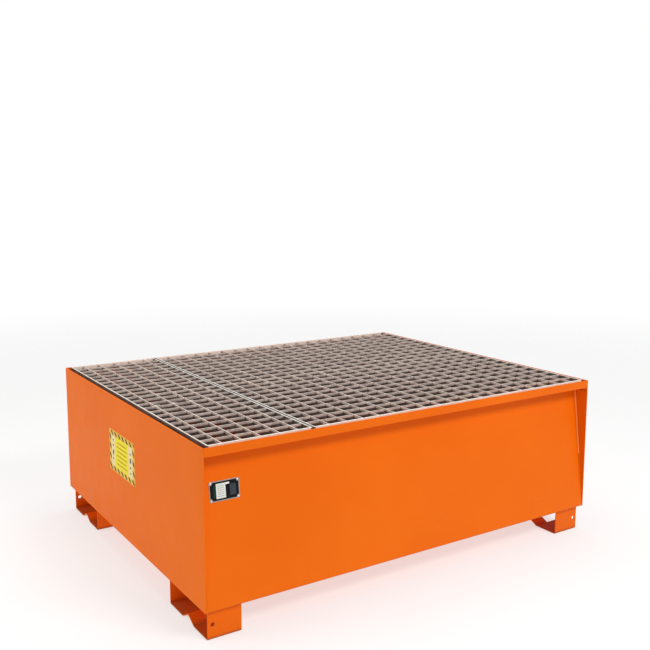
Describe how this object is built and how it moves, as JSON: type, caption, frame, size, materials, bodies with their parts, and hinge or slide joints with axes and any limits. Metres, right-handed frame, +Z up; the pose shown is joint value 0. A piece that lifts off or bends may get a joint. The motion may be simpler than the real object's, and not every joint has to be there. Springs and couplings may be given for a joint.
{
  "type": "spill containment pallet",
  "caption": "Steel sump pallet with a welded trough on folded feet and two lift-out walkable gratings, for standing a bulk liquid container over a leak basin.",
  "frame": {"origin": "on the floor under the middle of the pallet's bounding box", "axes": "+X along the front to the right, +Y from front to back, +Z up; the small grating is at -X"},
  "size_m": [1.6505, 1.325, 0.6093],
  "materials": {
    "orange_coating": "smooth semi-gloss orange powder coating",
    "galvanised_steel": "hot-dip galvanised, dull with a bright edge",
    "nameplate_sheet": "satin",
    "rivet_metal": "bright",
    "placard_plastic": "printed yellow film with a hatched border"
  },
  "bodies": {
    "tank": {"trough": "orange_coating", "left_end_plate": "orange_coating", "right_end_plate": "orange_coating", "corner_welds": "orange_coating", "support_beam": "galvanised_steel", "beam_seat_left": "orange_coating", "beam_seat_right": "orange_coating", "foot_front_left": "orange_coating", "foot_front_right": "orange_coating", "foot_rear_left": "orange_coating", "foot_rear_right": "orange_coating", "nameplate": "nameplate_sheet", "nameplate_rivets": "rivet_metal", "placard": "placard_plastic"},
    "small_grating": {"small_bearing_bars": "galvanised_steel", "small_cross_bars": "galvanised_steel", "small_side_bands": "galvanised_steel", "small_end_bands": "galvanised_steel"},
    "large_grating": {"large_bearing_bars": "galvanised_steel", "large_cross_bars": "galvanised_steel", "large_side_bands": "galvanised_steel", "large_end_bands": "galvanised_steel"}
  },
  "joints": [
    {"name": "small_grating_lift", "type": "slide", "parent": "tank", "child": "small_grating", "axis": [0, 0, 1], "range_m": [0, 0.3]},
    {"name": "large_grating_lift", "type": "slide", "parent": "tank", "child": "large_grating", "axis": [0, 0, 1], "range_m": [0, 0.3]}
  ]
}
